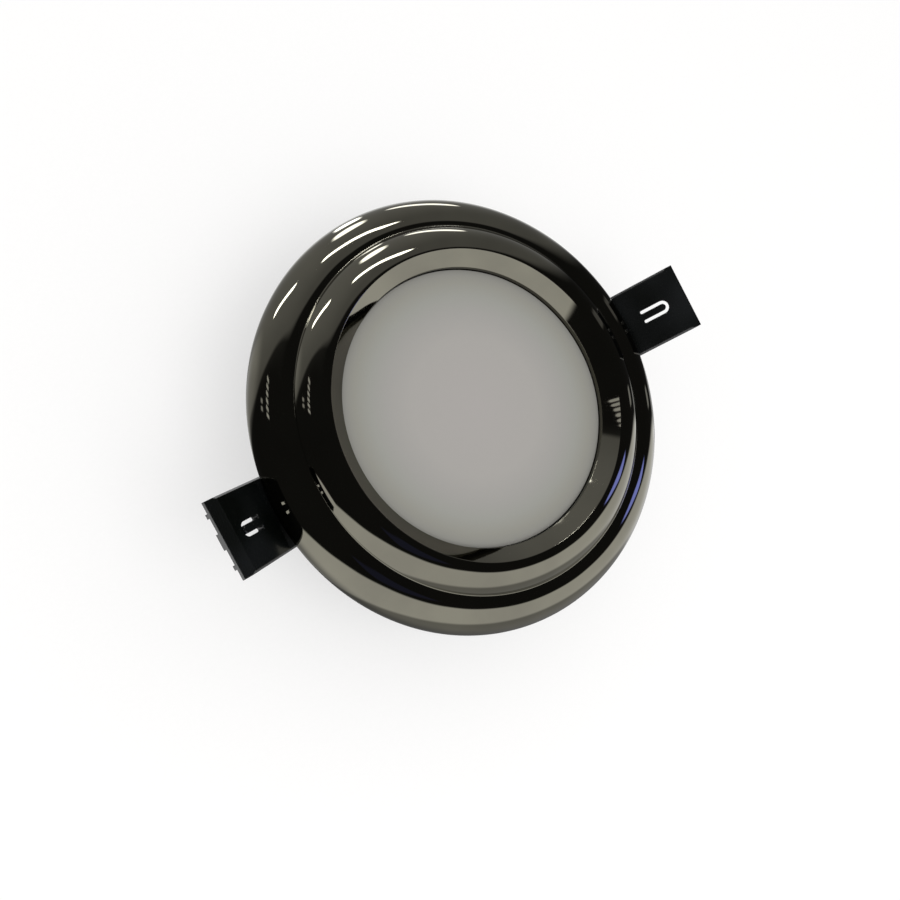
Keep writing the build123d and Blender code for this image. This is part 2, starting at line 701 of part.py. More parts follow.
# Spring clips: ribbed plate on two knuckles, bent back at the tip, with a sprung tongue in a U-shaped slot
bevel_start = clip_length - tip_bevel_length
knuckle_middle = clip_half_width - knuckle_width / 2
window_end = spring_outer + knuckle_wall
tip_back = clip_back - tip_back_drop
limb = tongue_half_width + tongue_slot / 2
slot_outer = tongue_half_width + tongue_slot
apex = tongue_start + tongue_length - slot_outer
saddle_face = spring_wire_radius + spring_seat_gap - spring_coil_radius
hook_start = spring_long_leg + spring_seat_gap
for name, side in (("right_clip", 1), ("left_clip", -1)):
    frame = hinge_plane(side)
    across = Plane(origin=frame.origin, x_dir=frame.x_dir, z_dir=-frame.y_dir)
    with BuildPart() as clip:
        with BuildSketch(across):
            with BuildLine():
                Polyline(
                    (0, clip_front),
                    (bevel_start, clip_front),
                    (clip_length, clip_front - tip_front_drop),
                    (clip_length, tip_back),
                    (bevel_start, clip_back),
                    (0, clip_back),
                    close=True,
                )
            make_face()
        extrude(amount=clip_half_width, both=True)
        front = clip.faces().sort_by(Axis(frame.origin, frame.z_dir))[-1]
        chamfer(front.edges().filter_by(Axis(frame.origin, frame.x_dir)), length=clip_edge_bevel)
        for edge in (1, -1):
            with BuildSketch(across.offset(edge * knuckle_middle)):
                Circle(knuckle_radius)
            extrude(amount=knuckle_width / 2, both=True)
            with BuildSketch(across.offset(edge * (clip_half_width - flange_width / 2))):
                with Locations((bevel_start / 2, clip_back - flange_depth / 2)):
                    Rectangle(bevel_start, flange_depth)
            extrude(amount=flange_width / 2, both=True)
            with BuildSketch(across.offset(edge * rib_offset)):
                with BuildLine():
                    Polyline(
                        (0, clip_back),
                        (bevel_start, clip_back),
                        (clip_length, tip_back),
                        (clip_length, tip_back - rib_depth),
                        (bevel_start, clip_back - rib_depth),
                        (0, clip_back - rib_depth),
                        close=True,
                    )
                make_face()
            extrude(amount=rib_width / 2, both=True)
        with BuildSketch(across):
            with BuildLine():
                Polyline(
                    (clip_length - tip_block_length, clip_back),
                    (bevel_start, clip_back),
                    (clip_length, tip_back),
                    (clip_length, tip_back - rib_depth),
                    (clip_length - tip_block_length, clip_back - rib_depth),
                    close=True,
                )
            make_face()
        extrude(amount=tip_block_width / 2, both=True)
        with BuildSketch(across):
            with Locations((hook_start - 2 * saddle_length, (clip_back + saddle_face) / 2)):
                Rectangle(saddle_length, clip_back - saddle_face)
            with Locations((hook_start + hook_length / 2, (clip_back - spring_outer) / 2)):
                Rectangle(hook_length, clip_back + spring_outer)
        extrude(amount=tongue_half_width, both=True)
        with BuildSketch(across):
            Circle(hinge_pin_radius + hinge_clearance)
        extrude(amount=clip_half_width, both=True, mode=Mode.SUBTRACT)
        with BuildSketch(across):
            Rectangle(2 * window_end, 4 * knuckle_radius)
        extrude(amount=clip_half_width - knuckle_width, both=True, mode=Mode.SUBTRACT)
        with BuildSketch(frame):
            with Locations(((tongue_start + apex + tongue_slot / 2) / 2, 0)):
                Rectangle(apex - tongue_start - tongue_slot / 2, 2 * slot_outer)
            with Locations((apex, 0)):
                Circle(slot_outer)
            with Locations((apex - tongue_length / 2, 0)):
                Rectangle(tongue_length, 2 * tongue_half_width, mode=Mode.SUBTRACT)
            with Locations((apex, 0)):
                Circle(tongue_half_width, mode=Mode.SUBTRACT)
            with Locations((tongue_start + tongue_slot / 2, limb), (tongue_start + tongue_slot / 2, -limb)):
                Circle(tongue_slot / 2)
        extrude(amount=clip_thickness, both=True, mode=Mode.SUBTRACT)
    clip.part.label = name
    export_step(clip.part, f"parts/{name}.step")

# Torsion springs: one wire from the pocket's floor, round the pin, and out along the back of the clip
coil_pieces = round(spring_wind / 90)


def coil_rise(turned):
    """Travel along the pin after turning by so many degrees. The first and last stretch ease in and out."""
    rate = spring_pitch / 360
    left = spring_wind - turned
    if turned < spring_ease:
        return rate * turned**2 / (2 * spring_ease)
    if left < spring_ease:
        return spring_rise - rate * left**2 / (2 * spring_ease)
    return rate * (turned - spring_ease / 2)


def coil_slope(turned):
    """Travel along the pin for each degree turned."""
    return spring_pitch / 360 * min(1, turned / spring_ease, (spring_wind - turned) / spring_ease)


def coil_point(turned):
    """Middle of the wire in the clip's own plane."""
    angle = math.radians(270 - spring_wind + turned)
    return Vector(
        spring_coil_radius * math.cos(angle),
        coil_rise(turned) - spring_rise / 2,
        spring_coil_radius * math.sin(angle),
    )


def coil_heading(turned):
    """Unit vector along the wire in the clip's own plane."""
    angle = math.radians(270 - spring_wind + turned)
    turn = math.radians(1) * spring_coil_radius
    return Vector(-turn * math.sin(angle), coil_slope(turned), turn * math.cos(angle)).normalized()


def biarc_joint(start, start_heading, end, end_heading):
    """Where the two arcs of a biarc meet, and their heading there."""
    chord = end - start
    along = chord.dot(start_heading + end_heading)
    spread = 2 * (1 - start_heading.dot(end_heading))
    reach = (math.sqrt(along**2 + spread * chord.dot(chord)) - along) / spread
    first = start + start_heading * reach
    second = end - end_heading * reach
    return (first + second) * 0.5, (second - first).normalized()


sample_step = 5
samples = [coil_point(turned) for turned in range(0, int(spring_wind), sample_step)]
half_turn = 180 // sample_step
least_gap = min(
    (samples[i] - samples[j]).length - 2 * spring_wire_radius
    for i in range(len(samples))
    for j in range(i + half_turn, len(samples))
)
print(f"spring turns {spring_wind / 360:.2f}, least gap between turns {least_gap:.3f} mm")

for name, side in (("right_clip_spring", 1), ("left_clip_spring", -1)):
    frame = hinge_plane(side)
    turned = [spring_wind * i / coil_pieces for i in range(coil_pieces + 1)]
    points = [frame.from_local_coords(coil_point(t)) for t in turned]
    headings = [frame.from_local_coords(coil_heading(t)) - frame.origin for t in turned]
    leg_side = spring_rise / 2
    leg_route = [
        frame.from_local_coords((along, offset, -spring_coil_radius))
        for along, offset in (
            (0, leg_side), (spring_bend_start, leg_side), (spring_bend_end, 0), (spring_long_leg, 0)
        )
    ]
    with BuildPart() as spring:
        with BuildLine() as wire_path:
            Line(points[0] - headings[0] * spring_short_leg, points[0])
            for i in range(coil_pieces):
                joint, heading = biarc_joint(points[i], headings[i], points[i + 1], headings[i + 1])
                TangentArc(points[i], joint, tangent=headings[i])
                TangentArc(joint, points[i + 1], tangent=heading)
            FilletPolyline(*leg_route, radius=spring_bend_radius)
        with BuildSketch(Plane(origin=wire_path.line @ 0, z_dir=wire_path.line % 0)):
            Circle(spring_wire_radius)
        sweep(path=wire_path.wire())
    spring.part.label = name
    export_step(spring.part, f"parts/{name}.step")
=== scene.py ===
import json
import math

import bmesh
import bpy
from mathutils import Matrix, Vector


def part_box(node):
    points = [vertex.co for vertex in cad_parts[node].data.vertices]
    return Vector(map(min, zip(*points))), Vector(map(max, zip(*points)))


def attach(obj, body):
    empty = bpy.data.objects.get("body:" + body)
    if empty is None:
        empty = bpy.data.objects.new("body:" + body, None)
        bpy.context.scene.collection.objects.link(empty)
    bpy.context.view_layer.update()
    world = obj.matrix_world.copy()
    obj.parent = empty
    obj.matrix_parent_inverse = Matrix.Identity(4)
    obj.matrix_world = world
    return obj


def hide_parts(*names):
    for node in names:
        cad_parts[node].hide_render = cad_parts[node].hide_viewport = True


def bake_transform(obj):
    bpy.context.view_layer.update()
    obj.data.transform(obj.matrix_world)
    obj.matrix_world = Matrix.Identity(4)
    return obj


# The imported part, in metres. Z = 0 is the panel's face, and the light shines along +Z.
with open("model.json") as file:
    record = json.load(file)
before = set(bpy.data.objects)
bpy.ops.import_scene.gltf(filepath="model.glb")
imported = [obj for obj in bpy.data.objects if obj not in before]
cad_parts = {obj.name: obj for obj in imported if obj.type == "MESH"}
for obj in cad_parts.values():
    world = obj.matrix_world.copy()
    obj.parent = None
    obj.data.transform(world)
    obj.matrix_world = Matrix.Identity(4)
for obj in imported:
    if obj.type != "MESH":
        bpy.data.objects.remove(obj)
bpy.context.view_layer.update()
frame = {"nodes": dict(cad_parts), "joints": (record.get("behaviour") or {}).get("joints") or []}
nodes = frame["nodes"]
mm = 0.001


# Trim bezel: a spun ring of two quarter-round beads, plated in mirror-bright black nickel.
# It is turned from the same section as its CAD solid, in steps fine enough for clean reflections.
# Screws from the clamp ring hold it from behind.
def linear(colour):
    """Linear red, green, blue and alpha of an sRGB hex colour."""
    shares = [int(colour[i : i + 2], 16) / 255 for i in (1, 3, 5)]
    return [s / 12.92 if s <= 0.04045 else ((s + 0.055) / 1.055) ** 2.4 for s in shares] + [1.0]


def add(tree, kind, sockets=(), stops=(), **settings):
    """Adds a shader node with its settings. Each socket gets a value, or a link from an output or from
    a node's first output. A colour ramp also gets its stops of (position, sRGB hex colour)."""
    made = tree.nodes.new("ShaderNode" + kind)
    for name, value in settings.items():
        setattr(made, name, value)
    for name, value in dict(sockets).items():
        if isinstance(value, bpy.types.Node):
            value = value.outputs[0]
        if isinstance(value, bpy.types.NodeSocket):
            tree.links.new(value, made.inputs[name])
        else:
            made.inputs[name].default_value = value
    if stops:
        elements = made.color_ramp.elements
        while len(elements) < len(stops):
            elements.new(1.0)
        for element, (position, colour) in zip(elements, stops):
            element.position = position
            element.color = linear(colour)
    return made


def new_material(name):
    """A material with an empty node tree, and the tree."""
    made = bpy.data.materials.new(name)
    made.use_nodes = True
    made.node_tree.nodes.clear()
    return made, made.node_tree


def close(tree, sockets):
    """Ends a material's tree with a principled surface that has these sockets set."""
    surface = add(tree, "BsdfPrincipled", sockets)
    add(tree, "OutputMaterial", {"Surface": surface})


def grain(tree, size, detail=3.0):
    """Mottling over the piece's own coordinates, from 0 to 1, with grains of that size in mm."""
    place = add(tree, "TexCoord").outputs["Object"]
    noise = add(tree, "TexNoise", {"Vector": place, "Scale": 1 / (size * mm), "Detail": detail})
    return noise.outputs["Fac"]


def wear(piece, made):
    """Gives the piece this one material."""
    piece.data.materials.clear()
    piece.data.materials.append(made)


def rounded(corners, steps=12):
    """Outline through corners of (x, y, radius). A corner with a radius becomes an arc."""
    outline = []
    for i, (x, y, radius) in enumerate(corners):
        here = Vector((x, y))
        if not radius:
            outline.append(here)
            continue
        back = (Vector(corners[i - 1][:2]) - here).normalized()
        ahead = (Vector(corners[(i + 1) % len(corners)][:2]) - here).normalized()
        half = back.angle(ahead) / 2
        centre = here + (back + ahead).normalized() * (radius / math.sin(half))
        first = here + back * (radius / math.tan(half)) - centre
        last = here + ahead * (radius / math.tan(half)) - centre
        for k in range(steps + 1):
            outline.append(centre + first.lerp(last, k / steps).normalized() * radius)
    return outline


def oval(middle, width, height, start, end, steps):
    """Corners along an ellipse about its middle, from one angle to another in degrees."""
    angles = [math.radians(start + (end - start) * k / steps) for k in range(steps + 1)]
    x, y = middle
    return [(x + width * math.cos(a), y + height * math.sin(a), 0) for a in angles]


def shaded(name, points, faces, sharp=30):
    """A smooth-shaded piece from points in mm, with edges over sharp degrees kept crisp."""
    mesh = bpy.data.meshes.new(name)
    mesh.from_pydata([Vector(p) * mm for p in points], [], faces)
    work = bmesh.new()
    work.from_mesh(mesh)
    bmesh.ops.recalc_face_normals(work, faces=work.faces)
    work.to_mesh(mesh)
    work.free()
    mesh.polygons.foreach_set("use_smooth", [True] * len(mesh.polygons))
    mesh.set_sharp_from_angle(angle=math.radians(sharp))
    piece = bpy.data.objects.new(name, mesh)
    bpy.context.scene.collection.objects.link(piece)
    return piece


def lathe(name, outline, segments):
    """A ring turned about Z from a closed outline of (radius, height) in mm."""
    points = []
    for k in range(segments):
        turn = math.tau * k / segments
        points += [(r * math.cos(turn), r * math.sin(turn), z) for r, z in outline]
    count = len(outline)
    faces = []
    for k in range(segments):
        here, there = k * count, (k + 1) % segments * count
        for i in range(count):
            j = (i + 1) % count
            faces.append((here + i, there + i, there + j, here + j))
    return shaded(name, points, faces)


trim_low, trim_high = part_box("trim_bezel")
trim_radius, trim_base = trim_high.x / mm, trim_low.z / mm
rim_land, rim_round = 0.3, 0.1
bead_width, bead_height = 8.5, 7.0
bead_pitch, bead_step = 8.8, 4.4
crest_round, groove_round, lip_round = 0.35, 0.35, 0.25
cone_width, cone_depth = 3.75, 3.4
lip_thickness = 1.9
trim_wall = 1.6
lens_gap = 0.2
collar_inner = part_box("diffuser_lens")[1].x / mm + lens_gap
collar_wall, collar_end = 2.0, 5.0
outer_middle = (trim_radius - bead_width, trim_base + rim_land)
crest_radius = outer_middle[0] - bead_pitch
inner_middle = (crest_radius, trim_base + bead_step)
aperture = crest_radius - cone_width
groove_z = outer_middle[1] + bead_height
crest_z = inner_middle[1] + bead_height
lip_z = crest_z - cone_depth
shell_width, shell_height = bead_width - trim_wall, bead_height - trim_wall
groove_angle = math.degrees(math.asin((groove_z - inner_middle[1]) / bead_height))
shell_groove_angle = math.degrees(math.asin((groove_z - trim_wall - inner_middle[1]) / shell_height))
shell_top_angle = math.degrees(math.acos((collar_inner + collar_wall - crest_radius) / shell_width))
outer_bead = oval(outer_middle, bead_width, bead_height, 0, 90, steps=60)
inner_bead = oval(inner_middle, bead_width, bead_height, groove_angle, 90, steps=44)
inner_shell = oval(inner_middle, shell_width, shell_height, shell_top_angle, shell_groove_angle, steps=12)
outer_shell = oval(outer_middle, shell_width, shell_height, 90, 0, steps=16)
# The inner bead leaves out its first points, for the groove's round, and its last, for the crest's.
groove_points = 2
trim_corners = [
    (trim_radius, trim_base, rim_round),
    *outer_bead,
    (inner_bead[0][0], groove_z, groove_round),
    *inner_bead[groove_points:-1],
    (crest_radius, crest_z, crest_round),
    (aperture, lip_z, lip_round),
    (aperture, lip_z - lip_thickness, 0),
    (collar_inner, lip_z - lip_thickness, 0),
    (collar_inner, collar_end, 0),
    (collar_inner + collar_wall, collar_end, 0),
    *inner_shell,
    *outer_shell,
    (trim_radius - trim_wall, trim_base, 0),
]
trim = lathe("plated_trim", rounded(trim_corners), segments=320)
# Black nickel is a dark mirror with a warm cast that varies a little from place to place.
# A slow waviness bends what it mirrors, and a thin haze softens it.
cast_width, haze_width = 14.0, 2.5
wave_width, wave_height = 9.0, 0.05
plating, tree = new_material("black nickel plating")
cast = grain(tree, cast_width)
haze = grain(tree, haze_width)
waves = grain(tree, wave_width, detail=0.0)
close(tree, {
    "Base Color": add(tree, "ValToRGB", {"Fac": cast}, stops=[(0.35, "#615F56"), (0.65, "#67655B")]),
    "Metallic": 1.0,
    "Roughness": add(tree, "MapRange", {"Value": haze, "To Min": 0.02, "To Max": 0.05}),
    "Normal": add(tree, "Bump", {"Height": waves, "Distance": wave_height * mm}),
})
wear(trim, plating)
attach(trim, "housing")
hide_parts("trim_bezel")


# Diffuser lens: a moulded disc of milky polycarbonate with a frosted face, set behind the trim's lip.
# Its colour is painted shade: the white lens is painted warm grey, as it reads unlit, and darker towards
# its rim, where less light from the white reflector shows through.
# A silicone ring seals its flange to the lip.
def from_axis(tree, node):
    """Distance of a point from the upright axis through a CAD node's middle."""
    low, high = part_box(node)
    place = add(tree, "TexCoord").outputs["Object"]
    away = add(tree, "VectorMath", {0: place, 1: (low + high) / 2}, operation="SUBTRACT")
    flat = add(tree, "VectorMath", {0: away, 1: (1.0, 1.0, 0.0)}, operation="MULTIPLY")
    return add(tree, "VectorMath", {0: flat}, operation="LENGTH").outputs["Value"]


# Frosting leaves a soft sheen and no mirror image. Its tooth is drawn coarser than it is, to show.
frost_size, frost_height = 0.15, 0.05
frost, tree = new_material("frosted polycarbonate")
share = add(tree, "MapRange", {"Value": from_axis(tree, "diffuser_lens"), "From Max": aperture * mm})
tooth = grain(tree, frost_size)
close(tree, {
    # Painted shade: warm grey in the middle, darkening out to the rim.
    "Base Color": add(tree, "ValToRGB", {"Fac": share}, stops=[
        (0.0, "#A4A09D"), (0.5, "#A29F9B"), (0.68, "#9C9A96"), (0.8, "#979791"),
        (0.9, "#929189"), (0.965, "#8D8C86"), (1.0, "#8A8984"),
    ]),
    "Specular IOR Level": 0.15,
    "Roughness": add(tree, "MapRange", {"Value": tooth, "To Min": 0.5, "To Max": 0.62}),
    "Normal": add(tree, "Bump", {"Height": tooth, "Strength": 0.12, "Distance": frost_height * mm}),
})
wear(nodes["diffuser_lens"], frost)


def grained(name, dark, light, size, rough, relief=0.0, edge=0.0, sink=0.0, metallic=0.0, gloss=0.5):
    """A material whose colour, gloss and relief follow grains of that size in mm.
    Its edges look rounded to the radius edge, in mm. Where moulded faces sink by a depth in mm, the colour
    follows the dips instead, as painted sheen: lighter where the face stands higher."""
    sink_width, rough_change, height_share = 11.0, 0.06, 0.25
    made, tree = new_material(name)
    fine = grain(tree, size)
    tone = fine
    normal = add(tree, "Bevel", {"Radius": edge * mm}, samples=4)
    if sink:
        tone = grain(tree, sink_width, detail=0.0)
        normal = add(tree, "Bump", {"Height": tone, "Distance": sink * mm, "Normal": normal})
    roughness = {"Value": fine, "To Min": rough - rough_change, "To Max": rough + rough_change}
    grains = {"Height": fine, "Strength": relief, "Distance": size * mm * height_share, "Normal": normal}
    close(tree, {
        "Base Color": add(tree, "ValToRGB", {"Fac": tone}, stops=[(0.3, dark), (0.7, light)]),
        "Metallic": metallic,
        "Specular IOR Level": gloss,
        "Roughness": add(tree, "MapRange", roughness),
        "Normal": add(tree, "Bump", grains),
    })
    return made


# Moulded silicone is pale grey and dull, with a faint skin.
silicone = grained("grey silicone", "#B9B9B6", "#C6C6C3", size=0.8, rough=0.5, relief=0.1)
wear(nodes["lens_seal"], silicone)

# Spring clips: ribbed nylon arms that grip the panel from behind, moulded in satin black.
# Each turns on a plated steel pin between two ears of the can.
# The nylon sinks a little on its flats, so highlights wander there, and its rounded edges catch the light.
# Painted sheen: the black lightens and darkens in broad patches that follow the dips of the flats.
clip_nylon = grained(
    "satin black nylon", "#040605", "#131516", size=0.12, rough=0.16,
    relief=0.03, edge=0.3, sink=0.25, gloss=1.0,
)
for name in ("right_clip", "left_clip"):
    wear(nodes[name], clip_nylon)
# Zinc plating is a bright, softly mottled grey.
plated_steel = grained(
    "zinc-plated steel", "#A6A7A5", "#C3C4C2", size=0.2, rough=0.3, relief=0.1, edge=0.08, metallic=1.0
)
for name in ("right_hinge_pin", "left_hinge_pin"):
    wear(nodes[name], plated_steel)


# Torsion springs: drawn steel wire wound round each hinge pin, with one leg on the pocket's floor
# and one along the back of the clip, held under its hook.
# The coil twists as the clip folds; here each spring is wound in its rest pose only.
def tube(name, path, radius, sides=12):
    """A round wire of that radius along a path of points, in mm, with flat ends."""
    points, faces = [], []
    across = Vector((0, 1, 0))
    for i, here in enumerate(path):
        along = (path[min(i + 1, len(path) - 1)] - path[max(i - 1, 0)]).normalized()
        across = (across - along * across.dot(along)).normalized()
        other = along.cross(across)
        for k in range(sides):
            turn = math.tau * k / sides
            points.append(here + (across * math.cos(turn) + other * math.sin(turn)) * radius)
    for i in range(len(path) - 1):
        for k in range(sides):
            here, there = i * sides, (i + 1) * sides
            n = (k + 1) % sides
            faces.append((here + k, here + n, there + n, there + k))
    faces.append(tuple(range(sides)))
    faces.append(tuple(range(len(points) - sides, len(points))))
    return shaded(name, points, faces, sharp=50)


wire_radius, coil_radius = 0.45, 2.05
rest_angle, spring_turns = 43.0, 4
coil_pitch, coil_ease = 1.6, 90.0
short_leg, long_leg = 5.8, 36.0
bend_start, bend_end, bend_radius = 9.0, 22.0, 6.0
wind = 90 + rest_angle + 360 * spring_turns
coil_rise = coil_pitch / 360 * (wind - coil_ease)
leg_side = coil_rise / 2


def coil_travel(turned):
    """Travel along the pin after so many degrees, easing in and out at the ends."""
    rate, left = coil_pitch / 360, wind - turned
    if turned < coil_ease:
        return rate * turned**2 / (2 * coil_ease)
    if left < coil_ease:
        return coil_rise - rate * left**2 / (2 * coil_ease)
    return rate * (turned - coil_ease / 2)


coil_steps, coil_end = 180, 270.0
coil = []
for k in range(coil_steps + 1):
    turned = wind * k / coil_steps
    angle = math.radians(coil_end - wind + turned)
    coil.append(Vector((
        coil_radius * math.cos(angle), coil_travel(turned) - leg_side, coil_radius * math.sin(angle)
    )))
leg = rounded([
    (0, leg_side, 0), (bend_start, leg_side, bend_radius), (bend_end, 0, bend_radius), (long_leg, 0, 0)
])
first = math.radians(coil_end - wind)
foot = coil[0] - Vector((-math.sin(first), 0, math.cos(first))) * short_leg
wire = [foot] + coil + [Vector((x, y, -coil_radius)) for x, y in leg[1:]]
# A twist direction is worked out for each spring, leaning a little along the long leg, but nothing uses it.
leg_lean = 0.2
# Drawn steel is bright, with greyer patches.
drawn_wire = grained(
    "drawn spring wire", "#8F8F8C", "#B2B2AE", size=0.3, rough=0.28, relief=0.04, metallic=1.0
)
for joint in frame["joints"]:
    side = 1 if joint["pos_m"][0] > 0 else -1
    lean = math.radians(rest_angle)
    pivot = Vector(joint["pos_m"]) / mm
    along = Vector((side * math.cos(lean), 0, math.sin(lean)))
    outward = Vector((-side * math.sin(lean), 0, math.cos(lean)))
    sideways = outward.cross(along)
    path = [pivot + along * p.x + sideways * p.y + outward * p.z for p in wire]
    spring = tube(joint["child"] + "_wound_spring", path, wire_radius)
    wear(spring, drawn_wire)
    twist = sideways + along * leg_lean
    twist /= twist.length_squared
    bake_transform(spring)
    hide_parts(joint["child"] + "_spring")

# Can and rear cover: cast aluminium under black powder coat, with heat-sink grooves down both sides.
# Four sunk screws hold the cover on a silicone seal, and a rubber grommet lines the cable's inlet.
# The coat is slightly pebbled and shines softly on the edges, and the rubber is dull and almost black.
powder_coat = grained(
    "black powder coat", "#161617", "#202021", size=0.35, rough=0.48, relief=0.35, edge=0.2
)
for name in ("housing_can", "rear_cover"):
    wear(nodes[name], powder_coat)
wear(nodes["rear_cover_seal"], silicone)
for name in ("rear_cover_screws", "bezel_screws", "led_board_screws", "driver_board_screws"):
    wear(nodes[name], plated_steel)
rubber = grained("black rubber", "#1A1A1A", "#252525", size=0.6, rough=0.6, relief=0.2, edge=0.3)
wear(nodes["cable_grommet"], rubber)

# Panel side: a glass-filled nylon ring that clamps the can to the trim, and the foam that meets the panel.
# The foam is bonded to the ring.
# The nylon is mottled by the short fibres in it, and the foam has an open cut skin.
filled_nylon = grained(
    "glass-filled nylon", "#1B1B1C", "#2B2B2C", size=0.25, rough=0.5, relief=0.2, edge=0.2
)
wear(nodes["clamp_ring"], filled_nylon)
foam = grained("closed-cell foam", "#1C1C1C", "#303030", size=0.5, rough=0.85, relief=0.7)
wear(nodes["panel_gasket"], foam)

# Light engine: white reflector cup, LED board with its packages, and the pad that passes heat to the can.
# All of it is shut in between the lens and the can's floor.
# The cup and the board are smooth and white, and the pad is a dull blue grey.
white_cup = grained("white polycarbonate", "#E4E3DF", "#EFEEEA", size=3.0, rough=0.3, edge=0.2)
wear(nodes["reflector_cup"], white_cup)
white_mask = grained("white solder mask", "#DFE0DD", "#EBECE9", size=1.2, rough=0.35, relief=0.05)
wear(nodes["led_board"], white_mask)
filled_pad = grained("filled silicone pad", "#6F7C8A", "#82909E", size=0.3, rough=0.75, relief=0.3)
wear(nodes["thermal_pad"], filled_pad)
# The packages are a glossy yellow on top, where phosphor fills them, and white at the sides.
speckle_size, speckle_share = 0.2, 0.2
phosphor, tree = new_material("phosphor under resin")
upward = add(tree, "SeparateXYZ", {"Vector": add(tree, "NewGeometry").outputs["Normal"]}).outputs["Z"]
speckle = grain(tree, speckle_size)
specks = add(tree, "Math", {0: speckle, 1: speckle_share}, operation="MULTIPLY")
topped = add(tree, "Math", {0: upward, 1: specks}, operation="ADD")
close(tree, {
    "Base Color": add(tree, "ValToRGB", {"Fac": topped}, stops=[
        (0.5, "#E9E7E0"), (0.7, "#E8C65A"), (1.0, "#F0D372"),
    ]),
    "Roughness": add(tree, "MapRange", {"Value": speckle, "To Min": 0.2, "To Max": 0.35}),
})
wear(nodes["led_packages"], phosphor)

# Driver: green board behind the floor with its capacitor, choke, chip, film capacitor and terminal block.
# Two leads rise through the floor to the LED board, held along their whole way.
# Solder mask, mouldings and insulation each show a plain colour with a fine grain.
for name, title, dark, light, size, rough in (
    ("driver_board", "green solder mask", "#1F5A34", "#2C7044", 0.9, 0.35),
    ("driver_chip", "moulded epoxy", "#1D1D1F", "#2A2A2C", 0.1, 0.6),
    ("driver_film_capacitor", "yellow moulded box", "#C79A22", "#D8AC33", 0.4, 0.35),
    ("terminal_block", "green polyamide", "#2E7A4A", "#398B57", 0.3, 0.4),
    ("led_lead_red", "red wire insulation", "#A71E1C", "#BC2A26", 0.5, 0.35),
    ("led_lead_black", "black wire insulation", "#1B1B1C", "#262627", 0.5, 0.35),
):
    wear(nodes[name], grained(title, dark, light, size, rough, relief=0.1, edge=0.1))

# The choke is dull dark ferrite, with copper wire round its waist.
# Its turns are drawn coarser than they are, to show.
# A wave texture of scale 1 has 20 / tau waves in a metre.
choke_radius, choke_waist = 5.0, 3.4
turn_pitch, turn_height = 1.1, 0.1
waves_per_metre = 20 / math.tau
waist_share, waist_edge = choke_waist / choke_radius, 0.03
ferrite, tree = new_material("ferrite with copper winding")
share = add(tree, "MapRange", {"Value": from_axis(tree, "driver_choke"), "From Max": choke_radius * mm})
place = add(tree, "TexCoord").outputs["Object"]
wave_scale = 1 / (turn_pitch * mm * waves_per_metre)
turns = add(tree, "TexWave", {"Vector": place, "Scale": wave_scale}, bands_direction="Z").outputs["Fac"]
close(tree, {
    "Base Color": add(tree, "ValToRGB", {"Fac": share}, stops=[
        (0.0, "#3A3A3B"), (waist_share - waist_edge, "#8C4E26"), (waist_share + waist_edge, "#444446"),
    ]),
    "Roughness": add(tree, "MapRange", {"Value": turns, "To Min": 0.3, "To Max": 0.5}),
    "Normal": add(tree, "Bump", {"Height": turns, "Strength": 0.3, "Distance": turn_height * mm}),
})
wear(nodes["driver_choke"], ferrite)

# The capacitor is bare aluminium on top, inside the rolled edge of a dark blue sleeve.
capacitor_radius, scuff_size = 4.0, 0.6
bare_share, sleeve_share = 0.78, 0.84
sleeve, tree = new_material("shrink sleeve on aluminium")
out = from_axis(tree, "driver_capacitor")
share = add(tree, "MapRange", {"Value": out, "From Max": capacitor_radius * mm})
scuff = grain(tree, scuff_size)
close(tree, {
    "Base Color": add(tree, "ValToRGB", {"Fac": share}, stops=[
        (0.0, "#B4B5B3"), (bare_share, "#A5A6A4"), (sleeve_share, "#20243C"), (1.0, "#262B47"),
    ]),
    "Metallic": add(tree, "MapRange", {"Value": share, "From Min": sleeve_share, "From Max": bare_share}),
    "Roughness": add(tree, "MapRange", {"Value": scuff, "To Min": 0.25, "To Max": 0.4}),
})
wear(nodes["driver_capacitor"], sleeve)

# Floor: a plain sheet of white matt paper under the light's back, with a faint tooth.
# It is half as bright as white to the camera before any light falls on it, so that the shadow stays pale.
# Polished metal mirrors the studio in its place.
floor_size, floor_glow = 3.0, 0.5
paper_tooth = 0.8
half = floor_size / 2
floor_gap = 0.05 * mm
floor_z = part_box("rear_cover")[0].z - floor_gap
corners = [(-half, -half, floor_z), (half, -half, floor_z), (half, half, floor_z), (-half, half, floor_z)]
floor_mesh = bpy.data.meshes.new("floor")
floor_mesh.from_pydata(corners, [], [(0, 1, 2, 3)])
floor = bpy.data.objects.new("floor", floor_mesh)
bpy.context.scene.collection.objects.link(floor)
paper, tree = new_material("white matt paper")
white = add(tree, "ValToRGB", {"Fac": grain(tree, paper_tooth)}, stops=[(0.3, "#F9F8F7"), (0.7, "#FBFAF9")])
lit = add(tree, "BsdfDiffuse", {"Color": white})
glow = add(tree, "Emission", {"Strength": 1.0})
camera_ray = add(tree, "LightPath").outputs["Is Camera Ray"]
share = add(tree, "Math", {0: camera_ray, 1: floor_glow}, operation="MULTIPLY")
add(tree, "OutputMaterial", {"Surface": add(tree, "MixShader", {0: share, 1: lit, 2: glow})})
wear(floor, paper)
floor.visible_glossy = False

# Studio: even soft light all round, a soft lamp overhead, and a white background.
# Polished metal sees a room round the light: a bright wall with a dark foot on the -Y side, a dim wall
# opposite with two tubes and some small lamps, a rack of lamps beside it, and darkness between and above.
world = bpy.data.worlds.new("studio")
bpy.context.scene.world = world
world.use_nodes = True
tree = world.node_tree
tree.nodes.clear()
way = add(tree, "SeparateXYZ", {"Vector": add(tree, "TexCoord").outputs["Generated"]})
heading = add(tree, "Math", {0: way.outputs["Y"], 1: way.outputs["X"]}, operation="ARCTAN2")
azimuth = add(tree, "Math", {0: heading}, operation="DEGREES")
rise = add(tree, "Math", {0: way.outputs["Z"]}, operation="ARCSINE")
elevation = add(tree, "Math", {0: rise}, operation="DEGREES")
direction = add(tree, "CombineXYZ", {"X": azimuth, "Y": elevation})


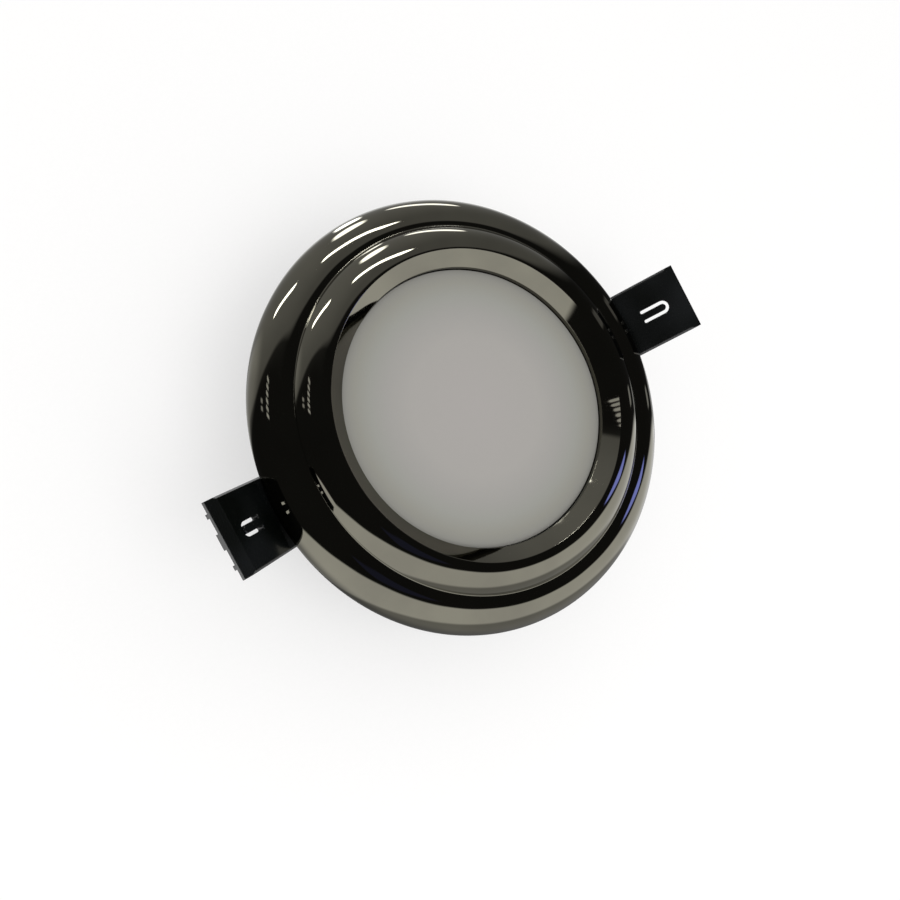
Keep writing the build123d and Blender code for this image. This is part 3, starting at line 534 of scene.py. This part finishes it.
def wall(middle, half_width, foot, top, power, soft, level):
    """An arched wall of that brightness, centred on an azimuth and widest at its foot.
    It goes straight down from there. Angles are in degrees, and soft is the blur of its edge."""
    half_turn = 180.0
    turned = add(tree, "Math", {0: azimuth, 1: middle}, operation="SUBTRACT")
    aside = add(tree, "Math", {0: turned, 1: half_turn}, operation="PINGPONG")
    across = add(tree, "Math", {0: aside, 1: half_width}, operation="DIVIDE")
    risen = add(tree, "Math", {0: elevation, 1: foot}, operation="SUBTRACT")
    above = add(tree, "Math", {0: risen, 1: 0.0}, operation="MAXIMUM")
    upright = add(tree, "Math", {0: above, 1: top - foot}, operation="DIVIDE")
    bulge = [add(tree, "Math", {0: share, 1: power}, operation="POWER") for share in (across, upright)]
    reach = add(tree, "Math", {0: bulge[0], 1: bulge[1]}, operation="ADD")
    limits = {"Value": reach, "From Min": 1 + soft, "From Max": 1 - soft, "To Max": level}
    return add(tree, "MapRange", limits, interpolation_type="SMOOTHSTEP")


def strip(start, end, radius, level):
    """A straight lamp of that brightness between two directions of (azimuth, elevation), in degrees."""
    inside, outside = 0.75, 1.25
    run = Vector(end) - Vector(start)
    middle = (Vector(end) + Vector(start)) / 2
    spin = math.atan2(run.y, run.x)
    layout = {"Vector": direction, "Location": middle.to_3d(), "Rotation": (0.0, 0.0, spin)}
    local = add(tree, "Mapping", layout, vector_type="TEXTURE")
    folded = add(tree, "VectorMath", {0: local}, operation="ABSOLUTE")
    past = add(tree, "VectorMath", {0: folded, 1: (run.length / 2, 0.0, 0.0)}, operation="SUBTRACT")
    beyond = add(tree, "VectorMath", {0: past, 1: (0.0, 0.0, 0.0)}, operation="MAXIMUM")
    distance = add(tree, "VectorMath", {0: beyond}, operation="LENGTH").outputs["Value"]
    limits = {"Value": distance, "From Min": radius * outside, "From Max": radius * inside, "To Max": level}
    return add(tree, "MapRange", limits, interpolation_type="SMOOTHSTEP")


# The bright wall runs on a little at one end, and darkens towards the ground.
wall_level = 1.76
long_wall = wall(middle=-98.5, half_width=81.5, foot=-25, top=60, power=2.2, soft=0.05, level=wall_level)
wall_end = wall(middle=-172, half_width=18, foot=-15, top=20, power=2.2, soft=0.1, level=wall_level)
dark_foot = wall(middle=-87, half_width=51, foot=-60, top=15, power=2.4, soft=0.15, level=1.08)
whole_wall = add(tree, "Math", {0: long_wall, 1: wall_end}, operation="MAXIMUM")
footed_wall = add(tree, "Math", {0: whole_wall, 1: dark_foot}, operation="SUBTRACT")
darkening = {"Value": elevation, "From Min": -5.0, "From Max": -55.0, "To Min": 1.0, "To Max": 0.3}
low_shade = add(tree, "MapRange", darkening, interpolation_type="SMOOTHSTEP")
bright_wall = add(tree, "Math", {0: footed_wall, 1: low_shade}, operation="MULTIPLY")
# The dim wall is cut off at one end, and its lamps light the middle of it.
full_wall = wall(middle=62, half_width=81, foot=-30, top=67, power=2.0, soft=0.04, level=0.33)
cut = {"Value": azimuth, "From Min": 12.0, "From Max": 20.0}
wall_cut = add(tree, "MapRange", cut, interpolation_type="SMOOTHSTEP")
dim_wall = add(tree, "Math", {0: full_wall, 1: wall_cut}, operation="MULTIPLY")
lamp_glow = wall(middle=85, half_width=48, foot=-40, top=48, power=2.0, soft=0.7, level=0.21)
tubes = [
    strip((45.5, 46.8), (74.5, 40.2), radius=1.8, level=20.0),
    strip((95.3, 24.6), (108, 12), radius=1.8, level=20.0),
]
small_lamps = [
    strip((71, 11), (71, 6.5), radius=5.4, level=10.0),
    strip((69, -16), (67, -25), radius=4.0, level=10.0),
    strip((44, -1), (54.5, -8), radius=3.5, level=7.5),
]
# Faint streaks stand in the gap between the walls, and the ground glows a little on the far side.
streaks = [
    strip((-15, -20), (-9, -42), radius=5.0, level=0.6),
    strip((-13.5, 10), (-13, 4), radius=1.8, level=0.8),
    strip((3, 24), (4, 8), radius=2.0, level=0.25),
]
ground_glow = [
    strip((24, -44), (60, -56), radius=22.0, level=0.45),
    wall(middle=130, half_width=17, foot=-60, top=2, power=2.0, soft=0.5, level=0.4),
]
# The rack holds short upright lamps in two rows, each with its first azimuth, foot, count and brightness.
rack_pitch, rack_rise, rack_radius = 3.0, 5.0, 0.9
rack = []
for row_start, row_foot, count, row_level in ((127.5, 40.0, 6, 1.6), (139.5, 22.0, 2, 1.0)):
    for k in range(count):
        along = row_start + rack_pitch * k
        rack.append(strip((along, row_foot), (along, row_foot + rack_rise), rack_radius, row_level))
room_level = 0.03
seen = room_level
for shape in (bright_wall, dim_wall, lamp_glow, *tubes, *small_lamps, *streaks, *ground_glow, *rack):
    seen = add(tree, "Math", {0: seen, 1: shape}, operation="ADD")
# Two lamps are a cool blue: one in the gap between the walls and a faint one high over the bright wall.
gap_lamp = strip((-28, 40), (-26, 33), radius=3.5, level=4.5)
high_lamp = strip((-110, 71), (-70, 71), radius=5.0, level=0.1)
cool_lamps = add(tree, "Math", {0: gap_lamp, 1: high_lamp}, operation="ADD")
soft_level = 0.85
rays = add(tree, "LightPath")
glossy = rays.outputs["Is Glossy Ray"]
mirrored = add(tree, "Mix", {"Factor": glossy, "A": soft_level, "B": seen})
level = add(tree, "Mix", {"Factor": rays.outputs["Is Camera Ray"], "A": mirrored, "B": 1.0})
plain = add(tree, "Background", {"Color": linear("#FFFFFF"), "Strength": level})
cool_level = add(tree, "Math", {0: cool_lamps, 1: glossy}, operation="MULTIPLY")
cool = add(tree, "Background", {"Color": linear("#8690F0"), "Strength": cool_level})
add(tree, "OutputWorld", {"Surface": add(tree, "AddShader", {0: plain, 1: cool})})

lamp_size, lamp_power = 0.7, 3.0
lamp_place = Vector((-0.1, -0.35, 0.9))
lamp_data = bpy.data.lights.new("overhead lamp", "AREA")
lamp_data.size = lamp_size
lamp_data.energy = lamp_power
lamp = bpy.data.objects.new("overhead_lamp", lamp_data)
lamp.location = lamp_place
lamp.rotation_euler = (-lamp_place).to_track_quat("-Z", "Y").to_euler()
lamp.visible_glossy = False
bpy.context.scene.collection.objects.link(lamp)

# Camera: about 26 degrees off the light's axis on the left clip's side, turned so that the clips lie
# from lower left to upper right.
camera_target = Vector((-9.28, -6.75, 0.0)) * mm
camera_distance = 0.23665
camera_azimuth, camera_elevation, camera_roll = 265.12, 63.98, 66.58
camera_data = bpy.data.cameras.new("camera")
camera_data.sensor_width = 36.0
camera_data.lens = 37.0
camera_data.clip_start = 0.01
camera = bpy.data.objects.new("camera", camera_data)
turn, tilt = math.radians(camera_azimuth), math.radians(camera_elevation)
back = Vector((math.sin(turn) * math.cos(tilt), -math.cos(turn) * math.cos(tilt), math.sin(tilt)))
camera.location = camera_target + back * camera_distance
facing = (-back).to_track_quat("-Z", "Y").to_matrix() @ Matrix.Rotation(math.radians(camera_roll), 3, "Z")
camera.rotation_euler = facing.to_euler()
bpy.context.scene.collection.objects.link(camera)
bpy.context.scene.camera = camera
bpy.context.scene.view_settings.view_transform = "Standard"
